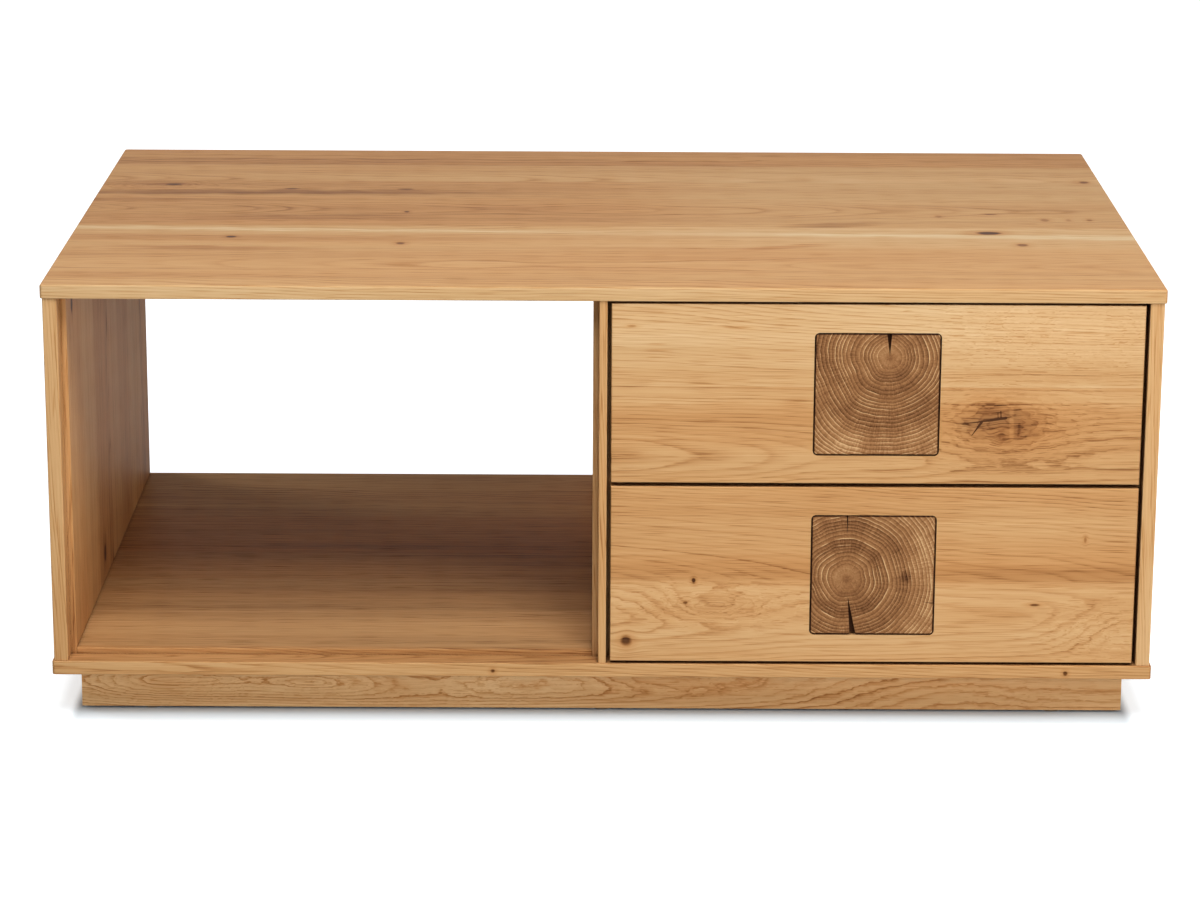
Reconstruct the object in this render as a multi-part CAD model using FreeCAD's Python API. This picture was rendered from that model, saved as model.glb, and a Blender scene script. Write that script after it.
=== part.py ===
import FreeCAD, Part
import os

# Oak coffee table: an open bay on the left, two push-to-open drawers on the right.
# Millimetres. X runs to the right, the front faces -Y, Z is up and the floor is at Z = 0.

Vec = FreeCAD.Vector
up = Vec(0, 0, 1)
forward = Vec(0, -1, 0)

# Whole table
table_width = 1100.0
table_depth = 700.0
table_height = 445.0

# Carcass boards, thinned along the inner front and back edges by a rebate
board = 20.0
rebate_step = 6.0
trigger_travel = 3.0
rebate_spare = 0.5
overhang = 2.0
housing_fit = 0.1
arris = 1.0
top_arris = 2.0
plan_corner = 3.0

# Dowels that hold the uprights in the top and the base
dowel_radius = 4.0
dowel_in_plate = 8.0
dowel_in_upright = 22.0
dowel_fit = 0.1
dowels_per_end = 5
dowel_margin = 50.0

# Plinth
plinth_height = 43.0
plinth_board = 20.0
plinth_inset_side = 25.0
plinth_inset_front = 30.0
corner_block = 45.0
glide_height = 2.0
glide_radius = 9.0
glide_from_end = 70.0
brace_screw_from_middle = 150.0

# Wood screws
screw_radius = 2.0
screw_head_radius = 3.6
screw_head_height = 1.7
screw_fit = 0.1
screw_sink = 10.0
sink_fit = 0.6
screw_bite = 12.0

# Drawer fronts
front_board = 20.0
front_gap_side = 4.0
front_gap_edge = 2.5
front_gap_middle = 4.0
front_arris = 1.2

# End-grain inlays, let into a pocket in the middle of each front
pocket_size = 124.5
pocket_depth = 8.0
pocket_corner = 5.0
inlay_gap = 1.2
inlay_arris = 0.7
split_depth = 6.0

# Drawer boxes with dovetailed corners
box_board = 12.0
box_lift = 15.5
box_clear_above = 36.0
box_past_rail = 30.0
pins = 4
pin_narrow = 7.0
pin_wide = 12.0
bottom_board = 6.0
bottom_lift = 13.0
bottom_tongue = 5.0
bottom_fit = 0.3
front_screw_from_side = 60.0
front_screw_from_edge = 35.0

# Telescopic runners: three nested channels with ball cages between them
runner_space = 13.0
rail_length = 450.0
rail_height = 45.0
rail_lift = 48.0
rail_setback = 4.0
sheet = 1.2
bend = 0.9
ball_gap = 2.6
web_gap = 2.4
slide_fit = 0.3
drawer_travel = 400.0
cage_width = 4.0
cage_spare = 18.0
outer_clear = 3.0
middle_clear = 2.0
inner_clear = 1.2
rail_screws = 3
rail_screw_from_end = 40.0
rail_screw_bite = 10.0

# Push-to-open units at the back of the outer rails
push_length = 60.0
push_clear = 8.0
push_wall = 4.0
push_rod_radius = 3.0
push_rod_from_wall = 7.5
striker_width = 12.0

# Heights
base_under = glide_height + plinth_height
lip = board - rebate_step
upright_foot = base_under + lip
upright_head = table_height - lip
upright_height = upright_head - upright_foot

# Across the table
side_outer = table_width / 2 - overhang
side_inner = side_outer - board
side_lip = side_inner + rebate_step
divider_half = board / 2
tongue_half = divider_half - rebate_step
bay_left = divider_half
bay_right = side_inner

# From front to back
back_face = table_depth / 2 - overhang
front_face = -back_face
rebate_width = front_board + trigger_travel + rebate_spare
back_shoulder = back_face - rebate_width
front_shoulder = -back_shoulder

# Plinth
plinth_half_width = table_width / 2 - plinth_inset_side
plinth_half_depth = table_depth / 2 - plinth_inset_front
plinth_screw_length = plinth_height - screw_sink + screw_bite

# Drawers
front_left = tongue_half + front_gap_side
front_right = side_lip - front_gap_side
front_middle = (front_left + front_right) / 2
front_back = front_face + front_board
front_height = (upright_height - 2 * front_gap_edge - front_gap_middle) / 2
box_left = bay_left + runner_space
box_right = bay_right - runner_space
box_height = front_height - box_lift - box_clear_above
box_front = front_back
box_back = box_front + rail_length + box_past_rail

# Runners
rail_front = front_shoulder + rail_setback
rail_back = rail_front + rail_length
push_front = rail_back + push_clear
push_back = push_front + push_length
outer_half = rail_height / 2
middle_half = outer_half - sheet - ball_gap
inner_half = middle_half - sheet - ball_gap
middle_web = sheet + web_gap
middle_tip = runner_space - middle_clear
outer_tip = runner_space - outer_clear
inner_tip = middle_web + sheet + inner_clear
rail_screw_length = sheet + rail_screw_bite


def block(x_span, y_span, z_span):
    """A square-edged board between two values on each axis."""
    low = Vec(min(x_span), min(y_span), min(z_span))
    size = Vec(max(x_span), max(y_span), max(z_span)) - low
    return Part.makeBox(size.x, size.y, size.z, low)


def prism(corners, along):
    """A straight piece with the given outline, drawn out along a vector."""
    outline = Part.makePolygon(corners + corners[:1])
    return Part.Face(outline).extrude(along)


def rod(radius, start, end):
    """A round bar from one point to another."""
    axis = end - start
    return Part.makeCylinder(radius, axis.Length, start, axis)


def near(value, other):
    """True if two values have the same size, whatever their sign."""
    return abs(abs(value) - abs(other)) < 0.01


def eased(shape, radius, wanted):
    """The shape with a round on each edge whose bounding box passes the test."""
    edges = [edge for edge in shape.Edges if wanted(edge.BoundBox)]
    return shape.makeFillet(radius, edges)


def is_upright(box):
    return box.ZLength > 1.0 and box.XLength < 0.01 and box.YLength < 0.01


def is_level_at(height):
    return lambda box: near(box.ZMin, height) and near(box.ZMax, height)


def is_open_arris(inner):
    """Picks the upright edges that stand out, on the ends of a board and on its inner face."""
    return lambda box: is_upright(box) and (near(box.YMin, back_face) or near(box.XMin, inner))


def is_facing_front(box):
    return near(box.YMin, front_face) and near(box.YMax, front_face) and box.YMax < 0


def spread(first, last, count):
    """Evenly spaced values from the first to the last."""
    return [first + (last - first) * step / (count - 1) for step in range(count)]


def screw(seat, drive, length):
    """A wood screw: its head stands on the seat, its shank runs along the drive direction."""
    head = rod(screw_head_radius, seat, seat - drive * screw_head_height)
    shank = rod(screw_radius, seat, seat + drive * length)
    return head.fuse(shank).removeSplitter()


def screw_hole(seat, drive, length):
    return rod(screw_radius + screw_fit, seat - drive, seat + drive * (length + screw_fit))


def dowels(grow):
    """All carcass dowels, or their holes if they are grown by the fit."""
    rods = []
    side_middle = (side_outer + side_inner) / 2
    for x in (-side_middle, 0.0, side_middle):
        for y in spread(front_shoulder + dowel_margin, back_shoulder - dowel_margin, dowels_per_end):
            head = Vec(x, y, upright_head + dowel_in_plate + grow)
            rods.append(rod(dowel_radius + grow, Vec(x, y, upright_head - dowel_in_upright - grow), head))
            foot = Vec(x, y, upright_foot - dowel_in_plate - grow)
            rods.append(rod(dowel_radius + grow, foot, Vec(x, y, upright_foot + dowel_in_upright + grow)))
    return rods


def plate(outer_level, inward, outer_round):
    """Top or base: a thin rim all round and a full-thickness field over each bay."""
    rim_level = outer_level + inward * lip
    field_level = outer_level + inward * board
    half_width = table_width / 2
    half_depth = table_depth / 2
    body = block((-half_width, half_width), (-half_depth, half_depth), (outer_level, rim_level))
    body = eased(body, plan_corner, is_upright)
    body = eased(body, outer_round, is_level_at(outer_level))
    body = eased(body, arris, is_level_at(rim_level))
    for side in (-1, 1):
        across = (side * (divider_half + housing_fit), side * (side_inner - housing_fit))
        field = block(across, (front_shoulder, back_shoulder), (rim_level, field_level))
        field = eased(field, arris, lambda box: is_level_at(field_level)(box) and box.YLength < 0.01)
        body = body.fuse(field)
    return body.removeSplitter()


def rebates(inner, thinned):
    """The front and back rebate on one face of an upright."""
    heights = (upright_foot, upright_head)
    return [block((inner, thinned), (y, y + rebate_width), heights) for y in (front_face, back_shoulder)]


def side_board(side):
    """An end of the table: flat outside, rebated inside."""
    heights = (upright_foot, upright_head)
    body = block((side * side_inner, side * side_outer), (front_face, back_face), heights)
    body = body.cut(rebates(side * side_inner, side * side_lip))
    return eased(body, arris, is_open_arris(side_inner))


def divider_board():
    """The upright between the bays, rebated on both faces."""
    body = block((-divider_half, divider_half), (front_face, back_face), (upright_foot, upright_head))
    for side in (-1, 1):
        body = body.cut(rebates(side * divider_half, side * tongue_half))
    return eased(body, arris, is_open_arris(divider_half))


def back_board():
    """Closes the drawer bay from behind, set against the shoulder of the rebate."""
    body = block(
        (tongue_half + housing_fit, side_lip - housing_fit),
        (back_shoulder, back_shoulder + front_board),
        (upright_foot, upright_head),
    )
    outer = back_shoulder + front_board
    return eased(body, arris, lambda box: near(box.YMin, outer) and near(box.YMax, outer))


def plinth_rail(corners):
    """One mitred plinth board from its plan outline."""
    return prism([Vec(x, y, glide_height) for x, y in corners], Vec(0, 0, plinth_height))


def plinth_long(side):
    """The front (-1) or back (1) plinth board."""
    outer = side * plinth_half_depth
    inner = side * (plinth_half_depth - plinth_board)
    long = plinth_half_width
    short = plinth_half_width - plinth_board
    return plinth_rail([(-long, outer), (long, outer), (short, inner), (-short, inner)])


def plinth_end(side):
    """The left (-1) or right (1) plinth board."""
    outer = side * plinth_half_width
    inner = side * (plinth_half_width - plinth_board)
    long = plinth_half_depth
    short = plinth_half_depth - plinth_board
    return plinth_rail([(outer, -long), (outer, long), (inner, short), (inner, -short)])


def plinth_brace():
    """The board under the divider, from the front plinth board to the back one."""
    reach = plinth_half_depth - plinth_board
    return block((-plinth_board / 2, plinth_board / 2), (-reach, reach), (glide_height, base_under))


def corner_blocks():
    """A block in each inner corner of the plinth."""
    x_far = plinth_half_width - plinth_board
    y_far = plinth_half_depth - plinth_board
    blocks = []
    for x in (-1, 1):
        for y in (-1, 1):
            across = (x * (x_far - corner_block), x * x_far)
            along = (y * (y_far - corner_block), y * y_far)
            blocks.append(block(across, along, (glide_height, base_under)))
    return blocks


def plinth_screw_seats():
    """Where the heads of the plinth screws sit, in the corner blocks and in the brace."""
    level = glide_height + screw_sink
    x_middle = plinth_half_width - plinth_board - corner_block / 2
    y_middle = plinth_half_depth - plinth_board - corner_block / 2
    seats = [Vec(x * x_middle, y * y_middle, level) for x in (-1, 1) for y in (-1, 1)]
    return seats + [Vec(0, y * brace_screw_from_middle, level) for y in (-1, 1)]


def plinth_screw_holes():
    """A clear hole for each plinth screw, widened below its head."""
    holes = []
    for seat in plinth_screw_seats():
        mouth = Vec(seat.x, seat.y, glide_height - 1)
        holes.append(rod(screw_head_radius + sink_fit, mouth, seat))
        holes.append(screw_hole(seat, up, plinth_screw_length))
    return holes


def glides():
    """Felt discs under the long plinth boards."""
    far = plinth_half_width - glide_from_end
    line = plinth_half_depth - plinth_board / 2
    spots = [Vec(x, y, 0) for x in (-far, 0, far) for y in (-line, line)]
    return [rod(glide_radius, spot, spot + up * glide_height) for spot in spots]


def rounded_plate(middle, half, corner, y_span):
    """A square plate across the front, with round corners."""
    body = block((middle.x - half, middle.x + half), y_span, (middle.z - half, middle.z + half))
    return eased(body, corner, lambda box: box.YLength > 1.0)


def front_with_pocket(foot):
    """A drawer front with the pocket for its inlay."""
    body = block((front_left, front_right), (front_face, front_back), (foot, foot + front_height))
    body = eased(body, front_arris, is_facing_front)
    middle = Vec(front_middle, 0, foot + front_height / 2)
    pocket = rounded_plate(middle, pocket_size / 2, pocket_corner, (front_face, front_face + pocket_depth))
    return body.cut(pocket)


def drying_split(middle, root, tip, width):
    """A wedge from the edge of the inlay towards its pith."""
    run = Vec(tip[0] - root[0], 0, tip[1] - root[1])
    past_edge = 1.1
    sideways = Vec(run.z, 0, -run.x).normalize() * width / 2 * past_edge
    end = middle + Vec(tip[0], front_face, tip[1])
    outer = end - run * past_edge
    corners = [outer - sideways, outer + sideways, end]
    return prism(corners, Vec(0, split_depth, 0))


def inlay(foot, splits):
    """The end-grain block, with its drying splits."""
    middle = Vec(front_middle, 0, foot + front_height / 2)
    half = pocket_size / 2 - inlay_gap
    body = rounded_plate(middle, half, pocket_corner - inlay_gap, (front_face, front_face + pocket_depth))
    body = eased(body, inlay_arris, is_facing_front)
    for root, tip, width in splits:
        edge = [half * share for share in root]
        body = body.cut(drying_split(middle, edge, [half * share for share in tip], width))
    return body


def dovetail_pins(foot, outer, inner, x_span):
    """The pins at one end of a box front or back, wider on the inside of the drawer."""
    pitch = box_height / pins
    x_low = min(x_span)
    length = Vec(max(x_span) - x_low, 0, 0)
    room = block(x_span, (outer, inner), (foot, foot + box_height))
    shapes = []
    for step in range(pins + 1):
        level = foot + step * pitch
        corners = [
            Vec(x_low, outer, level - pin_narrow / 2),
            Vec(x_low, outer, level + pin_narrow / 2),
            Vec(x_low, inner, level + pin_wide / 2),
            Vec(x_low, inner, level - pin_wide / 2),
        ]
        shapes.append(prism(corners, length).common(room))
    return shapes


def box_end(foot, outer, inner):
    """The front or back of a drawer box, with a row of pins at each end."""
    body = block((box_left + box_board, box_right - box_board), (outer, inner), (foot, foot + box_height))
    row = dovetail_pins(foot, outer, inner, (box_left, box_left + box_board))
    row += dovetail_pins(foot, outer, inner, (box_right - box_board, box_right))
    return body.fuse(row).removeSplitter()


def bottom_panel(foot, fit):
    """The drawer bottom, or the groove for it if the fit is 0."""
    tongue = bottom_tongue - fit
    across = (box_left + box_board - tongue, box_right - box_board + tongue)
    along = (box_front + box_board - tongue, box_back - box_board + tongue)
    return block(across, along, (foot + bottom_lift, foot + bottom_lift + bottom_board))


def drawer_box(foot):
    """The boards of one drawer box: front, back, left, right and bottom."""
    groove = bottom_panel(foot, 0.0)
    front = box_end(foot, box_front, box_front + box_board)
    back = box_end(foot, box_back, box_back - box_board)
    heights = (foot, foot + box_height)
    left = block((box_left, box_left + box_board), (box_front, box_back), heights).cut([front, back])
    right = block((box_right - box_board, box_right), (box_front, box_back), heights).cut([front, back])
    boards = {"box_front": front, "box_back": back, "box_left": left, "box_right": right}
    boards = {name: shape.cut(groove) for name, shape in boards.items()}
    boards["bottom"] = bottom_panel(foot, bottom_fit)
    return boards


def front_screw_seats(foot):
    """Where the screws through the box front into the drawer front have their heads."""
    across = (box_left + front_screw_from_side, box_right - front_screw_from_side)
    heights = (foot + front_screw_from_edge, foot + box_height - front_screw_from_edge)
    return [Vec(x, box_front + box_board, z) for x in across for z in heights]


class Runner:
    """One telescopic runner, measured from the wall that carries it towards the drawer."""

    def __init__(self, wall, hand, level):
        self.wall = wall
        self.hand = hand
        self.level = level
        self.towards_drawer = Vec(hand, 0, 0)

    def x(self, from_wall):
        return self.wall + self.hand * from_wall

    def piece(self, from_wall, y_span, z_span):
        across = [self.x(value) for value in from_wall]
        return block(across, y_span, [self.level + value for value in z_span])

    def channel(self, web, tip, half, y_span):
        """A rolled channel with its web at one distance from the wall and its flange tips at another."""
        inside = web + sheet if tip > web else web - sheet
        outline = [(web, -half), (tip, -half), (tip, sheet - half), (inside, sheet - half)]
        outline += [(from_wall, -rise) for from_wall, rise in reversed(outline)]
        corners = [Vec(self.x(from_wall), min(y_span), self.level + rise) for from_wall, rise in outline]
        body = prism(corners, Vec(0, max(y_span) - min(y_span), 0))
        return eased(body, bend, lambda box: box.YLength > 1.0 and near(box.XMin, self.x(web)))

    def outer_rail(self):
        body = self.channel(0.0, outer_tip, outer_half, (rail_front, push_back))
        return body.cut(self.screw_holes(sheet, -1))

    def middle_rail(self):
        return self.channel(middle_web, middle_tip, middle_half, (rail_front, rail_back))

    def inner_rail(self):
        """The rail on the drawer, with a tab at the back that meets the push rod."""
        body = self.channel(runner_space, inner_tip, inner_half, (rail_front, rail_back))
        across = (inner_tip, runner_space - sheet / 2)
        tab = self.piece(across, (rail_back - sheet, rail_back), (-striker_width / 2, striker_width / 2))
        return body.fuse(tab).removeSplitter().cut(self.screw_holes(runner_space - sheet, 1))

    def cages(self, low, high, inner_edge):
        """The two ball cages in the gap between one pair of flanges."""
        first = rail_front + cage_spare + drawer_travel / 4
        along = (first, first + rail_length - drawer_travel / 2 - 2 * cage_spare)
        across = (inner_edge, inner_edge + cage_width)
        gap = (low + slide_fit, high - slide_fit)
        return [self.piece(across, along, [side * value for value in gap]) for side in (-1, 1)]

    def outer_cages(self):
        return self.cages(middle_half, outer_half - sheet, middle_web + sheet)

    def inner_cages(self):
        return self.cages(inner_half, middle_half - sheet, inner_tip + slide_fit)

    def push_line(self, y):
        return Vec(self.x(push_rod_from_wall), y, self.level)

    def push_unit(self):
        """The housing in the back of the outer rail, with the bore for its rod."""
        half = outer_half - sheet
        body = self.piece((sheet, runner_space - slide_fit), (push_front, push_back), (-half, half))
        bore_end = self.push_line(push_back - push_wall)
        return body.cut(rod(push_rod_radius + slide_fit, self.push_line(push_front), bore_end))

    def push_rod(self):
        start = self.push_line(rail_back + trigger_travel + slide_fit)
        return rod(push_rod_radius, start, self.push_line(push_back - push_wall - slide_fit))

    def screw_seats(self, from_wall):
        spots = spread(rail_front + rail_screw_from_end, rail_back - rail_screw_from_end, rail_screws)
        return [Vec(self.x(from_wall), y, self.level) for y in spots]

    def screws(self, from_wall, way):
        drive = self.towards_drawer * way
        return [screw(seat, drive, rail_screw_length) for seat in self.screw_seats(from_wall)]

    def screw_holes(self, from_wall, way):
        drive = self.towards_drawer * way
        return [screw_hole(seat, drive, rail_screw_length) for seat in self.screw_seats(from_wall)]


# Splits of each inlay: where it opens on the edge, where it ends, both as shares of half the
# inlay measured from its middle, and its width at the edge.
inlay_splits = {
    "lower": [
        ((-0.31, -1.0), (-0.40, -0.35), 6.0),
        ((-0.43, 1.0), (-0.43, 0.67), 1.4),
        ((1.0, -0.47), (0.82, -0.46), 1.2),
    ],
    "upper": [((0.18, 1.0), (0.19, 0.65), 5.0)],
}

nodes = {}
front_screw_length = box_board + screw_bite
wall_holes = []
wall_screws = []

for index, name in enumerate(("lower", "upper")):
    front_foot = upright_foot + front_gap_edge + index * (front_height + front_gap_middle)
    box_foot = front_foot + box_lift
    runners = {
        "left": Runner(bay_left, 1, box_foot + rail_lift),
        "right": Runner(bay_right, -1, box_foot + rail_lift),
    }
    front_seats = front_screw_seats(box_foot)
    front_holes = [screw_hole(seat, forward, front_screw_length) for seat in front_seats]
    screws = [screw(seat, forward, front_screw_length) for seat in front_seats]
    boards = drawer_box(box_foot)
    boards["box_front"] = boards["box_front"].cut(front_holes)
    outer_cages = []
    inner_cages = []
    for side, runner in runners.items():
        nodes[f"{name}_{side}_outer_rail"] = runner.outer_rail()
        nodes[f"{name}_{side}_middle_rail"] = runner.middle_rail()
        nodes[f"{name}_{side}_inner_rail"] = runner.inner_rail()
        nodes[f"{name}_{side}_push_unit"] = runner.push_unit()
        nodes[f"{name}_{side}_push_rod"] = runner.push_rod()
        outer_cages += runner.outer_cages()
        inner_cages += runner.inner_cages()
        wall_screws += runner.screws(sheet, -1)
        wall_holes += runner.screw_holes(sheet, -1)
        screws += runner.screws(runner_space - sheet, 1)
        boards[f"box_{side}"] = boards[f"box_{side}"].cut(runner.screw_holes(runner_space - sheet, 1))
    nodes[f"{name}_outer_cages"] = Part.makeCompound(outer_cages)
    nodes[f"{name}_inner_cages"] = Part.makeCompound(inner_cages)
    nodes[f"{name}_drawer_front"] = front_with_pocket(front_foot).cut(front_holes)
    nodes[f"{name}_endgrain_inlay"] = inlay(front_foot, inlay_splits[name])
    nodes[f"{name}_drawer_screws"] = Part.makeCompound(screws)
    for part, shape in boards.items():
        nodes[f"{name}_{part}"] = shape

dowel_holes = dowels(dowel_fit)
plinth_holes = plinth_screw_holes()
nodes["top_panel"] = plate(table_height, -1, top_arris).cut(dowel_holes)
nodes["base_panel"] = plate(base_under, 1, arris).cut(dowel_holes + plinth_holes)
nodes["left_side_panel"] = side_board(-1).cut(dowel_holes)
nodes["right_side_panel"] = side_board(1).cut(dowel_holes + wall_holes)
nodes["divider_panel"] = divider_board().cut(dowel_holes + wall_holes)
nodes["back_panel"] = back_board()
nodes["plinth_front"] = plinth_long(-1)
nodes["plinth_back"] = plinth_long(1)
nodes["plinth_left"] = plinth_end(-1)
nodes["plinth_right"] = plinth_end(1)
nodes["plinth_brace"] = plinth_brace().cut(plinth_holes)
drilled_blocks = [piece.cut(plinth_holes) for piece in corner_blocks()]
nodes["plinth_corner_blocks"] = Part.makeCompound(drilled_blocks)
plinth_screws = [screw(seat, up, plinth_screw_length) for seat in plinth_screw_seats()]
nodes["plinth_screws"] = Part.makeCompound(plinth_screws)
nodes["felt_glides"] = Part.makeCompound(glides())
nodes["carcass_dowels"] = Part.makeCompound(dowels(0.0))
nodes["runner_screws"] = Part.makeCompound(wall_screws)

os.makedirs("parts", exist_ok=True)
for name, shape in nodes.items():
    shape.exportStep(f"parts/{name}.step")
print(len(nodes), "nodes")
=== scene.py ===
# %% [markdown]
# # An oak coffee table with two drawers
# This lesson dresses a coffee table in oiled wild oak. The solids of every board, drawer and runner
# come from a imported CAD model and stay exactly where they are. What is left to do here is what
# the eye enjoys: the figure of the oak, the end-grain tiles in the drawer fronts, zinc plated
# runners, small screws with their cross recess, and soft studio light on a white ground.

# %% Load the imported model
import math

import bmesh
import bpy
import numpy as np
from mathutils import Matrix, Vector


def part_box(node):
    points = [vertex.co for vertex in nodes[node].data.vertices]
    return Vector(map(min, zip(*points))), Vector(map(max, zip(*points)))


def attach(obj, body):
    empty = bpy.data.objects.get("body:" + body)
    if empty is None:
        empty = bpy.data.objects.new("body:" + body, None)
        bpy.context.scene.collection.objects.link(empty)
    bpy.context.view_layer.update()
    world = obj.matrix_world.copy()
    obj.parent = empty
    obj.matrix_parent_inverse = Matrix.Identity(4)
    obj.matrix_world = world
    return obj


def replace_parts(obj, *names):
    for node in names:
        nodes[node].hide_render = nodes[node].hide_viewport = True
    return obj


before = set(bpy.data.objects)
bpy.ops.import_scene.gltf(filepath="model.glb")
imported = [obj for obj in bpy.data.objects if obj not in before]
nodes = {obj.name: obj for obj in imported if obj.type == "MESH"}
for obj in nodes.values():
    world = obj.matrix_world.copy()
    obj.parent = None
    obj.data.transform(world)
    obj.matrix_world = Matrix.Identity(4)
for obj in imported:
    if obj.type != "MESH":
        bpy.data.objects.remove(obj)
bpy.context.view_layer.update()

# %% [markdown]
# ## The camera
# The photograph was taken from the front with a long lens, a little above the table. The place and
# the angles below were found by laying the table's corners over the picture. A focal length in pixels
# becomes a lens by its share of the picture's width, because both describe the same cone of view.

# %% Camera
PICTURE_WIDTH = 1200
FOCAL_PIXELS = 3839.0
SENSOR_MM = 36.0
camera_place = Vector((-0.00567, -3.99699, 1.28058))
look_down, look_right, lean = 0.26757, 0.00079, 0.00488

forward = Vector((math.sin(look_right) * math.cos(look_down),
                  math.cos(look_right) * math.cos(look_down),
                  -math.sin(look_down)))
level_right = Vector((math.cos(look_right), -math.sin(look_right), 0.0))
level_up = level_right.cross(forward)
leaned_right = math.cos(lean) * level_right + math.sin(lean) * level_up
leaned_up = math.cos(lean) * level_up - math.sin(lean) * level_right

camera_data = bpy.data.cameras.new("camera")
camera_data.sensor_width = SENSOR_MM
camera_data.lens = FOCAL_PIXELS * SENSOR_MM / PICTURE_WIDTH
camera = bpy.data.objects.new("camera", camera_data)
axes = Matrix((leaned_right, leaned_up, -forward)).transposed()
camera.matrix_world = Matrix.Translation(camera_place) @ axes.to_4x4()
bpy.context.scene.collection.objects.link(camera)
bpy.context.scene.camera = camera
print(f"a {camera_data.lens:.1f} mm lens, {camera_place.length:.2f} m away")

# %% [markdown]
# ## Formulas as shader nodes
# A wood texture is mostly arithmetic: how far is this point from the heart of the tree, which ring is
# it in, which plank. Linking dozens of Math nodes by hand hides the idea, so this little class lets a
# node's output be used in an ordinary formula. Every operator adds one node and returns its output.

# %% A number that flows through a shader
class Flow:
    """An output socket that can be used in formulas. Each operation adds a node to its tree."""

    def __init__(self, socket):
        self.socket = socket
        self.tree = socket.id_data

    def calc(self, operation, *others):
        node = self.tree.nodes.new("ShaderNodeMath")
        node.operation = operation
        for place, value in zip(node.inputs, (self, *others)):
            feed(place, value)
        return Flow(node.outputs[0])

    def __add__(self, other):
        return self.calc("ADD", other)

    def __sub__(self, other):
        return self.calc("SUBTRACT", other)

    def __mul__(self, other):
        return self.calc("MULTIPLY", other)

    def __truediv__(self, other):
        return self.calc("DIVIDE", other)


def feed(socket, value):
    """Link a flow into a socket, or set a plain value on it."""
    if isinstance(value, Flow):
        value.tree.links.new(value.socket, socket)
    else:
        socket.default_value = value


def fade(value, start, end):
    """0 before start, 1 after end, with a smooth slope between."""
    node = value.tree.nodes.new("ShaderNodeMapRange")
    node.interpolation_type = "SMOOTHSTEP"
    feed(node.inputs["Value"], value)
    node.inputs["From Min"].default_value = start
    node.inputs["From Max"].default_value = end
    return Flow(node.outputs["Result"])


def split(vector):
    node = vector.tree.nodes.new("ShaderNodeSeparateXYZ")
    feed(node.inputs[0], vector)
    return [Flow(socket) for socket in node.outputs]


def join(*numbers):
    tree = next(number.tree for number in numbers if isinstance(number, Flow))
    node = tree.nodes.new("ShaderNodeCombineXYZ")
    for socket, number in zip(node.inputs, numbers):
        feed(socket, number)
    return Flow(node.outputs[0])


def vector_calc(operation, first, second, result="Vector"):
    node = first.tree.nodes.new("ShaderNodeVectorMath")
    node.operation = operation
    feed(node.inputs[0], first)
    feed(node.inputs[1], second)
    return Flow(node.outputs[result])


def noise(place, stretch, detail=2.0, rough=0.5):
    """Cloudy noise from 0 to 1, with this many features per metre along each axis."""
    node = place.tree.nodes.new("ShaderNodeTexNoise")
    feed(node.inputs["Vector"], vector_calc("MULTIPLY", place, stretch))
    node.inputs["Scale"].default_value = 1.0
    node.inputs["Detail"].default_value = detail
    node.inputs["Roughness"].default_value = rough
    return Flow(node.outputs[0])


def swing(place, stretch, detail=2.0, rough=0.5):
    """The same noise, but swinging around zero."""
    return noise(place, stretch, detail, rough) - 0.5


def chance(number):
    """A random value from 0 to 1 for each whole number, the same on every run."""
    node = number.tree.nodes.new("ShaderNodeTexWhiteNoise")
    node.noise_dimensions = "1D"
    feed(node.inputs["W"], number)
    return Flow(node.outputs["Value"])


def ramp(value, stops, interpolation="LINEAR"):
    """A colour ramp. A stop is a position and a colour, or a position and a grey."""
    node = value.tree.nodes.new("ShaderNodeValToRGB")
    feed(node.inputs[0], value)
    band = node.color_ramp
    band.interpolation = interpolation
    while len(band.elements) < len(stops):
        band.elements.new(1.0)
    for element, (position, colour) in zip(band.elements, stops):
        element.position = position
        rgb = colour if isinstance(colour, tuple) else (colour,) * 3
        element.color = (*rgb, 1.0)
    return Flow(node.outputs[0])


def blend(kind, amount, first, second):
    """Mix two colours. An amount below 0 goes the other way, so that a warm tint cools."""
    tree = next(item.tree for item in (amount, first, second) if isinstance(item, Flow))
    node = tree.nodes.new("ShaderNodeMix")
    node.data_type = "RGBA"
    node.blend_type = kind
    node.clamp_factor = False
    feed(node.inputs[0], amount)
    for socket, colour in zip(node.inputs[6:8], (first, second)):
        feed(socket, colour if isinstance(colour, Flow) else (*colour, 1.0))
    return Flow(node.outputs[2])


def paint(red, green, blue):
    """A colour as a picture file writes it, from 0 to 255, as the linear values that shaders use."""
    def linear(part):
        share = part / 255
        return share / 12.92 if share <= 0.04045 else ((share + 0.055) / 1.055) ** 2.4
    return tuple(linear(part) for part in (red, green, blue))


print("mid oak is", [round(part, 3) for part in paint(200, 152, 104)])

# %% [markdown]
# ## Node groups
# A group is to nodes what a function is to code: made once, used by many materials. The helper below
# gives a group its named sockets and hands back its inputs as flows, so that its inside is a formula too.

# %% A helper for groups
def start_group(name, inputs, outputs, tree_kind="ShaderNodeTree"):
    """A new node group. Returns it, its inputs as flows, and the node that its results go to."""
    group = bpy.data.node_groups.new(name, tree_kind)
    for way, sockets in (("INPUT", inputs), ("OUTPUT", outputs)):
        for title, kind in sockets.items():
            group.interface.new_socket(title, in_out=way, socket_type="NodeSocket" + kind)
    entry = group.nodes.new("NodeGroupInput")
    leave = group.nodes.new("NodeGroupOutput")
    return group, {title: Flow(entry.outputs[title]) for title in inputs}, leave


def use_group(tree, group, **values):
    """Put a group into a tree and feed its inputs. Returns its outputs by name."""
    node = tree.nodes.new("ShaderNodeGroup")
    node.node_tree = group
    for title, value in values.items():
        feed(node.inputs[title], value)
    return {socket.name: Flow(socket) for socket in node.outputs}


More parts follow.
